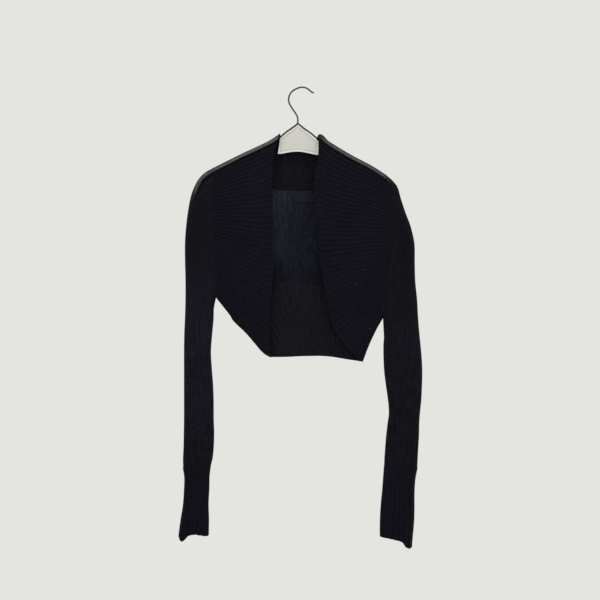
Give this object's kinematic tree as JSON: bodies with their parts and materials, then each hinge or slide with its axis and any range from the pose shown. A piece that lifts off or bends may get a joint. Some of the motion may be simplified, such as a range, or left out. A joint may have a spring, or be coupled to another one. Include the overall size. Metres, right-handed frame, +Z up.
{
  "type": "knitted shrug on a wire hanger",
  "caption": "Open-front knitted shrug with long sleeves and a wide ribbed band round its opening, hung on a wire hanger with a plate in its top corner.",
  "frame": {"origin": "underside of the crown of the hanger's hook, on the hook's centre plane, where a rail carries it", "axes": "+Z up along the hanging length, +Y through the cloth from front to back, +X from the sleeve at the viewer's left to the one at the right; the garment's front faces -Y"},
  "size_m": [0.486, 0.0253, 0.9192],
  "materials": {
    "rib_knit": "matte ribbed knit, near black",
    "plain_knit": "matte plain knit, near black",
    "label_cloth": "satin, black",
    "hanger_steel": "satin grey",
    "hanger_plastic": "satin white"
  },
  "bodies": {
    "root": {"back_panel": "plain_knit", "front_left": "rib_knit", "front_right": "rib_knit", "neck_band": "rib_knit", "hem_band": "rib_knit", "sleeve_left": "plain_knit", "sleeve_right": "plain_knit", "cuff_left": "rib_knit", "cuff_right": "rib_knit", "neck_label": "label_cloth", "hanger_wire": "hanger_steel", "hanger_plate": "hanger_plastic"}
  },
  "joints": []
}
